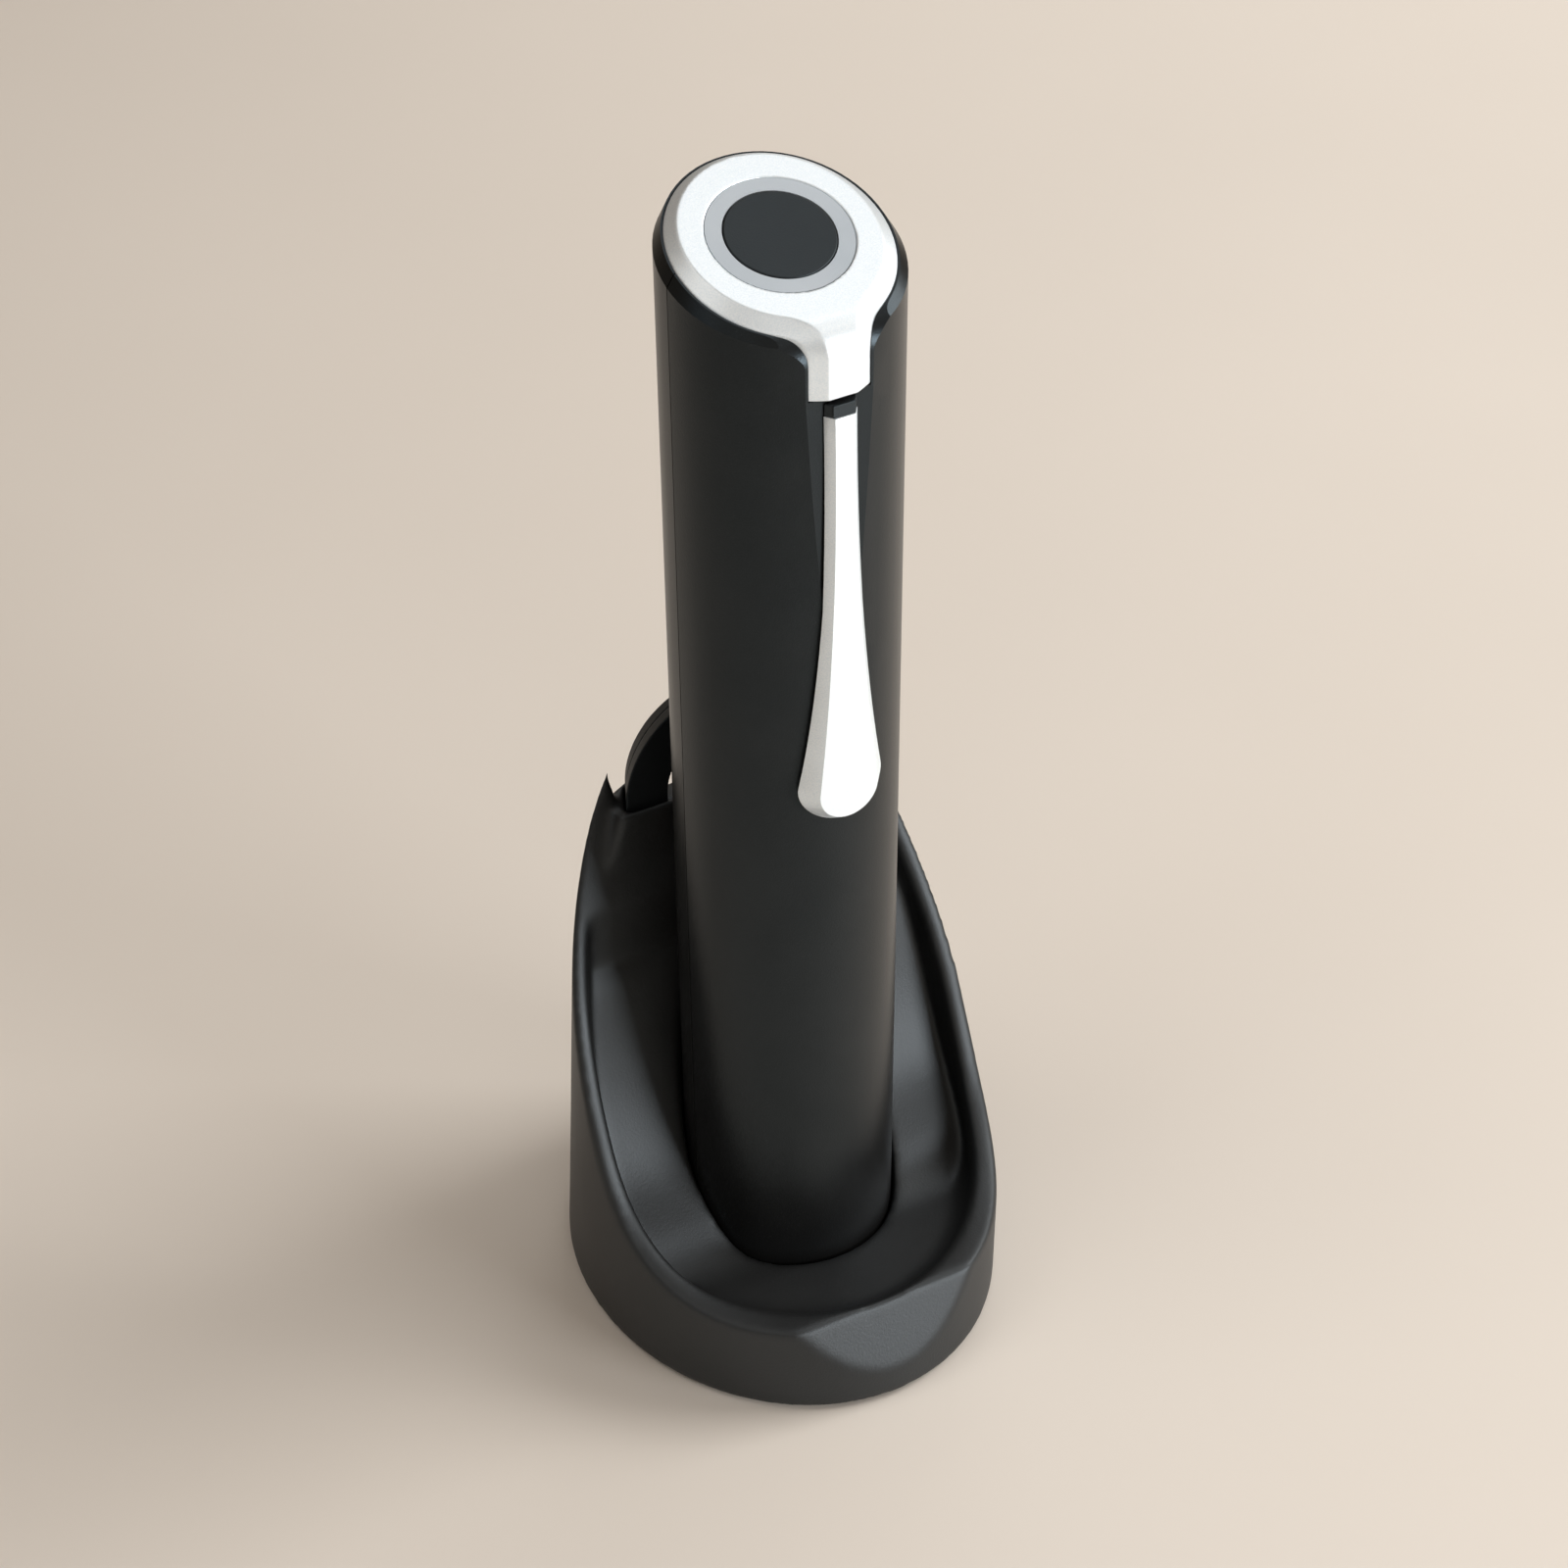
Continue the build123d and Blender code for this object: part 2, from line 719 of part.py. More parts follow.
with BuildPart() as cutter_pins:
    with BuildSketch(cutter_face(cutter_middle_y)):
        with Locations(*wheel_spots):
            Circle(wheel_pin_r)
    extrude(amount=pin_half_length, both=True)
write_piece(cutter_pins, "cutter_pins")

for number, spot in enumerate(wheel_spots, 1):
    with BuildPart() as cutter_wheel:
        with BuildSketch(cutter_face(cutter_middle_y)):
            with Locations(spot):
                Circle(wheel_r)
                Circle(wheel_pin_r + running_gap, mode=Mode.SUBTRACT)
        extrude(amount=wheel_thickness / 2, both=True)
        outside = cutter_wheel.edges().filter_by(GeomType.CIRCLE).sort_by(SortBy.RADIUS)[-2:]
        chamfer(outside, wheel_thickness * 0.4, wheel_thickness)
    write_piece(cutter_wheel, f"cutter_wheel_{number}")


# Opener: side plane, with local X along the depth from the tube's axis and local Y up
tube_side = Plane((0, opener_y, 0), x_dir=(0, 1, 0), z_dir=(1, 0, 0))
shell_low = tube_bottom + collar_lip
shell_high = tube_reference + 2 * tube_wall
rim_rise = tan(radians(rim_tilt))
cap_rise = tan(radians(cap_tilt))


def side_cut(points, corner=None, radius=0):
    """Slab across the whole tube, from a side-view polygon with one rounded corner."""
    with BuildPart() as slab:
        with BuildSketch(tube_side) as outline:
            with BuildLine():
                Polyline(*points, close=True)
            make_face()
            if corner is not None:
                nearest = outline.vertices().sort_by_distance(Vector(*corner, 0))
                fillet(nearest[0], radius)
        extrude(amount=far, both=True)
    return slab.part


def cap_blank(gap):
    """Cap before its edges are bevelled, grown by a gap."""
    half = tail_half_width + gap
    front = cap_front_y - gap
    top_back = (far, cap_z + cap_rise * far)
    corner = (front, cap_z + cap_rise * front)
    seat_z = rim_axis_z - cap_skirt - gap
    points = [
        top_back,
        corner,
        (front, tail_bottom - gap),
        (tail_root_y + gap, tail_bottom - gap),
        (tail_root_y + gap, seat_z + rim_rise * (tail_root_y + gap)),
        (far, seat_z + rim_rise * far),
    ]
    with BuildPart() as blank:
        with BuildSketch(on_axis(tail_bottom - cap_skirt)) as plan:
            Circle(cap_r + gap)
            with Locations((0, -cap_r)):
                Rectangle(2 * half, cap_r)
            joints = [v for v in plan.vertices() if -cap_r - gap < v.Y < -cap_r + tail_flare_r]
            fillet(joints, tail_flare_r)
        extrude(amount=far)
        add(side_cut(points, corner, cap_bend_r), mode=Mode.INTERSECT)
    return blank.part


rim_corner = (tail_seat_y, rim_axis_z + rim_rise * tail_seat_y)
channel_top = tail_bottom - 2 * tube_wall / 3
above_rim = side_cut(
    [
        (far, rim_axis_z + rim_rise * far),
        rim_corner,
        (tail_seat_y, channel_top),
        (-far, channel_top),
        (-far, 3 * far),
        (far, 3 * far),
    ],
    rim_corner,
    rim_bend_r,
)
inner_rim_z = cap_z - rim_edge_drop
inner_rim_corner = (tail_seat_y, inner_rim_z + cap_rise * tail_seat_y)
above_inner_rim = side_cut(
    [
        (far, inner_rim_z + cap_rise * far),
        inner_rim_corner,
        (tail_seat_y, channel_top),
        (-far, channel_top),
        (-far, 3 * far),
        (far, 3 * far),
    ],
    inner_rim_corner,
    cap_bend_r,
)


def rim_ring(z, tilt, radius):
    """Slanted section of an upright cylinder on the opener's axis."""
    slant = Plane((0, opener_y, z), x_dir=(1, 0, 0), z_dir=(0, -sin(radians(tilt)), cos(radians(tilt))))
    with BuildSketch(slant) as section:
        Ellipse(radius, radius / cos(radians(tilt)))
    return section.sketch


channel_foot_y = -tube_r(channel_foot_z) - seat_gap
lever_channel = side_cut(
    [
        (tail_seat_y, channel_top),
        (channel_foot_y, channel_foot_z),
        (-far, channel_foot_z),
        (-far, channel_top),
    ]
)
cap_room = cap_blank(cap_gap)

lowered_rim = Pos(0, 0, -seat_gap) * above_rim

# Tube's outside with its bevelled rim
with BuildPart() as rim_form:
    loft(
        [
            rim_ring(0, rim_tilt, tube_r(shell_high)),
            rim_ring(rim_axis_z, rim_tilt, tube_r(shell_high)),
            rim_ring(inner_rim_z, cap_tilt, cap_r + cap_gap + rim_edge_step),
        ],
        ruled=True,
    )

with BuildPart() as tube_blank:
    loft(tube_cone(shell_low, shell_high, 0), ruled=True)
    add(rim_form.part, mode=Mode.INTERSECT)
    add(above_inner_rim, mode=Mode.SUBTRACT)
    loft(tube_cone(shell_low, shell_high, tube_wall), ruled=True, mode=Mode.SUBTRACT)
    add(cap_room, mode=Mode.SUBTRACT)

with BuildPart() as tongue_blank:
    loft(tube_cone(shell_low, shell_high, tube_wall - tongue_wall), ruled=True)
    loft(tube_cone(shell_low, shell_high, tube_wall), ruled=True, mode=Mode.SUBTRACT)
    add(lowered_rim, mode=Mode.SUBTRACT)
    add(cap_room, mode=Mode.SUBTRACT)

with BuildPart() as groove_blank:
    loft(tube_cone(shell_low, shell_high, tube_wall - tongue_wall - seat_gap), ruled=True)
    loft(tube_cone(shell_low, shell_high, tube_wall + tongue_wall), ruled=True, mode=Mode.SUBTRACT)
    with BuildSketch(on_axis(0)):
        with Locations((0, -(tongue_depth + seam_gap) / 2)):
            Rectangle(2 * far, tongue_depth + seam_gap)
    extrude(amount=3 * far, mode=Mode.INTERSECT)
    add(above_rim, mode=Mode.SUBTRACT)

lever_foot = lever_top - lever_length
post_z = lever_foot + post_rise
control_low = post_z - control_margin
post_plane = Plane((0, opener_y, post_z), x_dir=(1, 0, 0), z_dir=(0, -1, 0))
hinge_plane = Plane((0, opener_y + hinge_y, hinge_z), x_dir=(0, 1, 0), z_dir=(1, 0, 0))
control_face = control_y - board_thickness
window_half = knuckle_half + window_gap
screw_spots = [(x, z) for z in shell_boss_heights for x in (-shell_boss_x, shell_boss_x)]
wall_plane = Plane((0, opener_y, 0), x_dir=(1, 0, 0), z_dir=(0, -1, 0))
boss_reach = sqrt((tube_r(shell_boss_heights[0]) - tube_wall) ** 2 - shell_boss_x**2)

with BuildPart() as front_shell:
    add(tube_blank.part)
    with BuildSketch(on_axis(0)):
        with Locations((0, -far / 2 - seam_gap / 2)):
            Rectangle(2 * far, far)
    extrude(amount=3 * far, mode=Mode.INTERSECT)
    add(groove_blank.part, mode=Mode.SUBTRACT)
    # Screw bosses, board ribs and hinge ears inside
    with BuildSketch(wall_plane.offset(tongue_depth + seam_gap)):
        with Locations(*screw_spots):
            Circle(shell_boss_r)
    extrude(amount=boss_reach - tongue_depth - seam_gap)
    with BuildSketch(wall_plane.offset(-control_face)):
        with Locations((0, (control_low + control_high) / 2)):
            with GridLocations(2 * rib_half_gap, 1, 2, 1):
                Rectangle(rib_thickness, control_high - control_low)
    extrude(amount=-control_face / 3)
    with BuildSketch(wall_plane.offset(-hinge_y - knuckle_r)):
        with Locations((0, hinge_z)):
            with GridLocations(2 * window_half + ear_thickness, 1, 2, 1):
                Rectangle(ear_thickness, 2 * knuckle_r)
    extrude(amount=2 * knuckle_r)
    add(lever_channel, mode=Mode.SUBTRACT)
    with BuildSketch(wall_plane.offset(tongue_depth + seam_gap)):
        with Locations(*screw_spots):
            Circle(screw_r + running_gap)
    extrude(amount=shell_screw_length / 2, mode=Mode.SUBTRACT)
    # Window for the lever's knuckle, pin holes and the post's hole
    with BuildSketch(wall_plane):
        with Locations((0, (hinge_z - knuckle_r - window_gap + carrier_head_top + window_gap) / 2)):
            Rectangle(2 * window_half, carrier_head_top - hinge_z + knuckle_r + 2 * window_gap)
    extrude(amount=far, mode=Mode.SUBTRACT)
    with BuildSketch(hinge_plane):
        Circle(hinge_pin_r + running_gap)
    extrude(amount=hinge_pin_length / 2, both=True, mode=Mode.SUBTRACT)
    with BuildSketch(post_plane):
        Circle(post_r + 2 * loose_gap)
    extrude(amount=far, mode=Mode.SUBTRACT)
write_piece(front_shell, "front_shell")

back_plane = Plane((0, opener_y, 0), x_dir=(-1, 0, 0), z_dir=(0, 1, 0))
screw_head_y = shell_screw_length / 2
with BuildPart() as rear_shell:
    add(tube_blank.part)
    with BuildSketch(on_axis(0)):
        with Locations((0, far / 2 + seam_gap / 2)):
            Rectangle(2 * far, far)
    extrude(amount=3 * far, mode=Mode.INTERSECT)
    # Tongue that closes the seam from inside
    with BuildPart(mode=Mode.PRIVATE) as tongue:
        add(tongue_blank.part)
        with BuildSketch(on_axis(0)):
            Rectangle(2 * far, 2 * tongue_depth)
        extrude(amount=3 * far, mode=Mode.INTERSECT)
    add(tongue.part)
    with BuildSketch(back_plane.offset(seam_gap / 2)):
        with Locations(*screw_spots):
            Circle(shell_boss_r)
    extrude(amount=boss_reach)
    with BuildSketch(back_plane):
        with Locations(*screw_spots):
            Circle(screw_r + running_gap)
    extrude(amount=far, mode=Mode.SUBTRACT)
    with BuildSketch(back_plane.offset(screw_head_y)):
        with Locations(*screw_spots):
            Circle(shell_boss_r - seat_gap)
    extrude(amount=far, mode=Mode.SUBTRACT)
write_piece(rear_shell, "rear_shell")

with BuildPart() as shell_screws:
    with BuildSketch(back_plane.offset(screw_head_y)):
        with Locations(*screw_spots):
            Circle(screw_r)
    extrude(amount=-shell_screw_length + loose_gap)
    with BuildSketch(back_plane.offset(screw_head_y)):
        with Locations(*screw_spots):
            Circle(shell_boss_r - seat_gap - loose_gap)
    extrude(amount=screw_head_height)
    with BuildSketch(back_plane.offset(screw_head_y + screw_head_height)):
        with Locations(*screw_spots):
            Rectangle(screw_head_r, screw_head_height / 2)
            Rectangle(screw_head_height / 2, screw_head_r)
    extrude(amount=-screw_head_height / 2, mode=Mode.SUBTRACT)
write_piece(shell_screws, "shell_screws")

# Silver cap with its tail, light ring, disc and lamp board
cap_plane = Plane((0, opener_y, cap_z), x_dir=(1, 0, 0), z_dir=(0, -sin(radians(cap_tilt)), cos(radians(cap_tilt))))
ledge_depth = ring_depth + board_thickness
with BuildPart() as top_cap:
    add(cap_blank(0))
    crown = top_cap.faces().filter_by(GeomType.PLANE).sort_by(Axis.Z)[-1]
    crown_edge = crown.edges().sort_by(SortBy.LENGTH)[-1]
    chamfer(crown_edge, cap_chamfer_top, cap_chamfer_side, reference=crown)
    with BuildSketch(cap_plane):
        Circle(ring_outer_r + seat_gap)
    extrude(amount=-ledge_depth, mode=Mode.SUBTRACT)
    with BuildSketch(cap_plane):
        Circle(ring_outer_r - ring_depth / 3)
    extrude(amount=-far, mode=Mode.SUBTRACT)
write_piece(top_cap, "top_cap")

with BuildPart() as light_ring:
    with BuildSketch(cap_plane.offset(-ring_depth)):
        Circle(ring_outer_r)
        Circle(ring_inner_r - ring_ledge, mode=Mode.SUBTRACT)
    extrude(amount=ring_depth - ring_sink)
    with BuildSketch(cap_plane.offset(-disc_depth)):
        Circle(ring_inner_r)
    extrude(amount=disc_depth, mode=Mode.SUBTRACT)
    with BuildSketch(cap_plane.offset(-ring_depth)):
        Circle(led_circle_r + led_size)
        Circle(led_circle_r - led_size, mode=Mode.SUBTRACT)
    extrude(amount=led_height + loose_gap, mode=Mode.SUBTRACT)
write_piece(light_ring, "light_ring")

with BuildPart() as cap_disc:
    with BuildSketch(cap_plane.offset(-disc_depth)):
        Circle(disc_r)
    extrude(amount=disc_depth)
    fillet(cap_disc.edges().sort_by(Axis.Z)[-1], ring_sink * 2)
write_piece(cap_disc, "cap_disc")

with BuildPart() as led_board:
    with BuildSketch(cap_plane.offset(-ledge_depth)):
        Circle(ring_outer_r)
    extrude(amount=board_thickness)
write_piece(led_board, "led_board")

with BuildPart() as leds:
    with BuildSketch(cap_plane.offset(-ring_depth)):
        with PolarLocations(led_circle_r, led_count):
            Rectangle(led_size, led_size)
    extrude(amount=led_height)
write_piece(leds, "leds")

# Lever: sloped sides under a long flat face, with its carrier, post and pin
lever_drops = (0.0, lever_stem_drop, lever_neck_drop, lever_spoon_drop)
lever_halves = (lever_half_top, lever_half_stem, lever_half_neck, lever_half_spoon)


def lever_outline(near_y, far_y, spread):
    """Lever's outline on a plane that runs from its top to its foot, widened by its side slope."""
    down = Vector(0, far_y - near_y, -lever_length).normalized()
    across = Vector(-1, 0, 0)
    place = Plane((0, opener_y + near_y, lever_top), x_dir=across, z_dir=across.cross(down))
    scale = sqrt(lever_length**2 + (far_y - near_y) ** 2) / lever_length
    rows = []
    for drop, half in zip(lever_drops, lever_halves):
        front_y = lever_top_y + (lever_foot_y - lever_top_y) * drop / lever_length
        rows.append((half + spread * lever_slope * (lever_root_y - front_y), drop * scale))
    tip = (lever_length + spread * lever_slope * (lever_root_y - lever_foot_y)) * scale
    with BuildSketch(place) as outline:
        with BuildLine():
            right = Spline(*rows)
            bottom = ThreePointArc(right @ 1, (0, tip), (-rows[-1][0], rows[-1][1]))
            left = Spline(*[(-half, drop) for half, drop in reversed(rows)])
            Line(left @ 1, right @ 0)
        make_face()
    return outline.sketch


def lever_back(clear_top, clear_foot):
    """Cone behind the lever, clear of the tube by two gaps."""
    gaps = (clear_foot - clear_top) / (lever_foot - lever_top)
    sections = []
    for z in (lever_foot - far / 4, lever_top + far / 4):
        with BuildSketch(on_axis(z)) as section:
            Circle(tube_r(z) + clear_top + gaps * (z - lever_top))
        sections.append(section.sketch)
    return sections


gap_rise = (lever_gap_foot - lever_gap_top) / lever_length
channel_gap = lever_gap_top + gap_rise * (lever_top - channel_foot_z)
with BuildPart() as behind_lever:
    loft(lever_back(lever_gap_top, lever_gap_foot), ruled=True)
    add(
        side_cut(
            [
                (tail_seat_y - lever_gap_top, lever_top + far / 4),
                (tail_seat_y - lever_gap_top, lever_top),
                (-tube_r(channel_foot_z) - channel_gap, channel_foot_z),
                (-far, channel_foot_z),
                (-far, lever_foot - far / 4),
                (far, lever_foot - far / 4),
                (far, lever_top + far / 4),
            ]
        ),
        mode=Mode.INTERSECT,
    )

post_back = -tube_r(post_z) - lever_gap_foot - lever_groove
with BuildPart() as lever:
    loft([lever_outline(lever_top_y, lever_foot_y, 0), lever_outline(lever_root_y, lever_root_y, 1)], ruled=True)
    add(behind_lever.part, mode=Mode.SUBTRACT)
    with BuildSketch(post_plane):
        Circle(post_r + running_gap)
    extrude(amount=-post_back, mode=Mode.SUBTRACT)
write_piece(lever, "lever")

with BuildPart() as lever_post:
    with BuildSketch(post_plane.offset(-post_end_y)):
        Circle(post_r)
    extrude(amount=post_end_y - post_back)
write_piece(lever_post, "lever_post")

with BuildPart() as lever_carrier:
    with BuildSketch(tube_side):
        with BuildLine():
            Polyline(
                (lever_top_y + loose_gap, carrier_head_top),
                (lever_top_y + loose_gap, lever_top),
                (tail_seat_y - lever_gap_top, lever_top),
                (hinge_y - knuckle_r, hinge_z),
                (hinge_y, hinge_z),
                (hinge_y + knuckle_r / 2, hinge_z + knuckle_r / 2),
                (tail_root_y, carrier_head_top),
                close=True,
            )
        make_face()
    extrude(amount=knuckle_half, both=True)
    with BuildSketch(hinge_plane):
        Circle(knuckle_r)
    extrude(amount=knuckle_half, both=True)
    with BuildSketch(on_axis(lever_top)):
        with BuildLine():
            Polyline(
                (lever_half_top, lever_top_y + loose_gap),
                (carrier_half, tail_seat_y - lever_gap_top),
                (-carrier_half, tail_seat_y - lever_gap_top),
                (-lever_half_top, lever_top_y + loose_gap),
                close=True,
            )
        make_face()
    extrude(amount=carrier_head_top - lever_top)
    with BuildSketch(hinge_plane):
        Circle(hinge_pin_r + running_gap)
    extrude(amount=hinge_pin_length, both=True, mode=Mode.SUBTRACT)
write_piece(lever_carrier, "lever_carrier")

with BuildPart() as lever_pin:
    with BuildSketch(hinge_plane):
        Circle(hinge_pin_r)
    extrude(amount=hinge_pin_length / 2, both=True)
write_piece(lever_pin, "lever_pin")

# Control board with the switch that the lever's post presses
with BuildPart() as control_board:
    with BuildSketch(wall_plane.offset(-control_y)):
        with Locations((0, (control_low + control_high) / 2)):
            Rectangle(2 * control_half_width, control_high - control_low)
    extrude(amount=board_thickness)
write_piece(control_board, "control_board")

switch_face = control_face - switch_depth
with BuildPart() as drive_switch:
    with BuildSketch(wall_plane.offset(-control_face)):
        with Locations((0, post_z)):
            Rectangle(switch_size, switch_size)
    extrude(amount=switch_depth)
    with BuildSketch(post_plane.offset(-switch_face)):
        Circle(button_r + running_gap)
    extrude(amount=-switch_depth * 0.8, mode=Mode.SUBTRACT)
write_piece(drive_switch, "drive_switch")

with BuildPart() as switch_button:
    with BuildSketch(post_plane.offset(-post_end_y - seat_gap / 2)):
        Circle(button_r)
    extrude(amount=post_end_y + seat_gap / 2 - switch_face - switch_depth * 0.8 + button_travel + seat_gap)
write_piece(switch_button, "switch_button")

# Cells between two holders, standing on the motor
cell_high = cell_low + cell_length
holder_low = cell_low - holder_thickness
motor_low = gearbox_low + gearbox_length + motor_plate
can_high = motor_low + motor_can_length
motor_high = can_high + motor_cap_length


def holder_plan(z):
    """Holder's plan: round, cut flat in front for the control board."""
    with BuildSketch(on_axis(z)) as plan:
        Circle(tube_r(z) - tube_wall - inner_gap)
        with Locations((0, control_y + loose_gap - far / 2)):
            Rectangle(2 * far, far, mode=Mode.SUBTRACT)
    return plan.sketch


with BuildPart() as battery_holder_lower:
    extrude(holder_plan(holder_low), amount=holder_thickness + holder_lip)
    with BuildSketch(on_axis(cell_low)):
        with PolarLocations(cell_circle_r, 3, start_angle=90):
            Circle(cell_r + loose_gap)
    extrude(amount=holder_lip, mode=Mode.SUBTRACT)
    with BuildSketch(on_axis(motor_high)):
        Circle(motor_r - loose_gap)
        Circle(motor_r - holder_lip, mode=Mode.SUBTRACT)
    extrude(amount=holder_low - motor_high)
write_piece(battery_holder_lower, "battery_holder_lower")

with BuildPart() as battery_cells:
    with BuildSketch(on_axis(cell_low)):
        with PolarLocations(cell_circle_r, 3, start_angle=90):
            Circle(cell_r)
    extrude(amount=cell_length - cell_tip)
    with BuildSketch(on_axis(cell_high - cell_tip)):
        with PolarLocations(cell_circle_r, 3, start_angle=90):
            Circle(cell_r / 3)
    extrude(amount=cell_tip)
write_piece(battery_cells, "battery_cells")

with BuildPart() as battery_holder_upper:
    extrude(holder_plan(cell_high - holder_lip), amount=holder_lip + holder_thickness)
    with BuildSketch(on_axis(cell_high - holder_lip)):
        with PolarLocations(cell_circle_r, 3, start_angle=90):
            Circle(cell_r + loose_gap)
    extrude(amount=holder_lip, mode=Mode.SUBTRACT)
write_piece(battery_holder_upper, "battery_holder_upper")

# Motor on its plate
with BuildPart() as motor_can:
    with BuildSketch(on_axis(motor_low)):
        Circle(motor_r)
    extrude(amount=motor_can_length)
    fillet(motor_can.edges(), holder_wall)
    with BuildSketch(on_axis(motor_low)):
        Circle(motor_boss_r)
    extrude(amount=-motor_boss_height)
    with BuildSketch(on_axis(motor_low - motor_boss_height)):
        Circle(motor_shaft_r + running_gap)
    extrude(amount=motor_can_length, mode=Mode.SUBTRACT)
write_piece(motor_can, "motor_can")

with BuildPart() as motor_end_cap:
    with BuildSketch(on_axis(can_high)):
        Circle(motor_r - holder_wall)
    extrude(amount=motor_cap_length)
write_piece(motor_end_cap, "motor_end_cap")

# Gearbox: ring, plate above it, cover below it and the screws that hold them
gearbox_high = gearbox_low + gearbox_length
cover_low = gearbox_low - cover_thickness
ring_tip = gear_module * addendum
ring_root = gear_module * dedendum
with BuildPart() as gearbox_housing:
    with BuildSketch(on_axis(gearbox_low)):
        Circle(gearbox_wall_r)
        add(involute_gear(ring_teeth, ring_root, ring_tip, -backlash / 2, 180 / ring_teeth), mode=Mode.SUBTRACT)
        with PolarLocations(gearbox_screw_circle, gearbox_screw_count, start_angle=45):
            Circle(gearbox_screw_r + running_gap, mode=Mode.SUBTRACT)
    extrude(amount=gearbox_length)
write_piece(gearbox_housing, "gearbox_housing")

with BuildPart() as motor_mount:
    with BuildSketch(on_axis(gearbox_high)):
        Circle(tube_r(gearbox_high) - tube_wall - inner_gap)
        Circle(motor_boss_r + seat_gap, mode=Mode.SUBTRACT)
        with PolarLocations(gearbox_screw_circle, gearbox_screw_count, start_angle=45):
            Circle(gearbox_screw_r + running_gap, mode=Mode.SUBTRACT)
    extrude(amount=motor_plate)
write_piece(motor_mount, "motor_plate")

with BuildPart() as gearbox_cover:
    with BuildSketch(on_axis(cover_low)):
        Circle(tube_r(cover_low) - tube_wall - inner_gap)
        Circle(bush_r + running_gap, mode=Mode.SUBTRACT)
    extrude(amount=cover_thickness)
    with BuildSketch(on_axis(gearbox_low)):
        with PolarLocations(gearbox_screw_circle, gearbox_screw_count, start_angle=45):
            Circle(gearbox_screw_r + running_gap)
    extrude(amount=-cover_thickness * 0.75, mode=Mode.SUBTRACT)
write_piece(gearbox_cover, "gearbox_cover")

with BuildPart() as gearbox_screws:
    with BuildSketch(on_axis(gearbox_high + motor_plate)):
        with PolarLocations(gearbox_screw_circle, gearbox_screw_count, start_angle=45):
            Circle(2 * gearbox_screw_r)
    extrude(amount=gearbox_screw_r)
    with BuildSketch(on_axis(gearbox_high + motor_plate)):
        with PolarLocations(gearbox_screw_circle, gearbox_screw_count, start_angle=45):
            Circle(gearbox_screw_r)
    extrude(amount=-motor_plate - gearbox_length - cover_thickness / 2)
write_piece(gearbox_screws, "gearbox_screws")

output_plate_low = gearbox_low + bush_flange + stage_gap
with BuildPart() as output_bush:
    with BuildSketch(on_axis(gearbox_low)):
        Circle(bush_r + bush_flange)
    extrude(amount=bush_flange)
    with BuildSketch(on_axis(gearbox_low)):
        Circle(bush_r)
    extrude(amount=-bush_length)
    with BuildSketch(on_axis(gearbox_low + bush_flange)):
        Circle(output_r + running_gap)
    extrude(amount=-2 * bush_length, mode=Mode.SUBTRACT)
write_piece(output_bush, "output_bush")

# Two planetary stages
planet_circle_r = gear_module * (sun_teeth + planet_teeth) / 2
carrier_r = planet_circle_r + 2 * planet_pin_r + 1
gear_tip = gear_module * addendum
gear_root = gear_module * dedendum
stage_two_low = output_plate_low + carrier_plate + stage_gap
middle_plate_low = stage_two_low + gear_width + 2 * stage_gap
stage_one_low = middle_plate_low + carrier_plate + stage_gap
sun_outline = involute_gear(sun_teeth, gear_tip, gear_root, backlash / 2, 0)
planet_outline = involute_gear(planet_teeth, gear_tip, gear_root, backlash / 2, 180 / planet_teeth)
chuck_top = gearbox_low - bush_length - stage_gap
chuck_low = chuck_top - chuck_length

with BuildPart() as output_carrier:
    with BuildSketch(on_axis(output_plate_low)):
        Circle(carrier_r)
    extrude(amount=carrier_plate)
    with BuildSketch(on_axis(output_plate_low)):
        with PolarLocations(planet_circle_r, planet_count):
            Circle(planet_pin_r)
    extrude(amount=carrier_plate + gear_width + stage_gap)
    with BuildSketch(on_axis(output_plate_low)):
        Circle(output_r)
    extrude(amount=chuck_top - chuck_length / 2 - output_plate_low)
write_piece(output_carrier, "output_carrier")

with BuildPart() as intermediate_carrier:
    with BuildSketch(on_axis(middle_plate_low)):
        Circle(carrier_r)
    extrude(amount=carrier_plate)
    with BuildSketch(on_axis(middle_plate_low)):
        with PolarLocations(planet_circle_r, planet_count):
            Circle(planet_pin_r)
    extrude(amount=carrier_plate + gear_width + stage_gap)
    with BuildSketch(on_axis(middle_plate_low)):
        add(sun_outline)
    extrude(amount=stage_two_low - middle_plate_low)
write_piece(intermediate_carrier, "intermediate_carrier")

for stage, low in (("2", stage_two_low), ("1", stage_one_low)):
    for letter, spin in zip("abc", range(planet_count)):
        around = 2 * pi * spin / planet_count
        centre = Vector(planet_circle_r * cos(around), planet_circle_r * sin(around) + opener_y, low)
        place = Plane(centre, x_dir=(cos(around), sin(around), 0))
        with BuildPart() as planet:
            with BuildSketch(place):
                add(planet_outline)
                Circle(planet_pin_r + running_gap, mode=Mode.SUBTRACT)
            extrude(amount=gear_width)
        write_piece(planet, f"planet_{stage}{letter}")

with BuildPart() as sun_gear:
    with BuildSketch(on_axis(stage_one_low)):
        add(sun_outline)
        Circle(motor_shaft_r, mode=Mode.SUBTRACT)
    extrude(amount=gear_width + stage_gap)
write_piece(sun_gear, "sun_gear")

with BuildPart() as motor_shaft:
    with BuildSketch(on_axis(stage_one_low)):
        Circle(motor_shaft_r)
    extrude(amount=motor_low + motor_can_length * 0.8 - stage_one_low)
write_piece(motor_shaft, "motor_shaft")

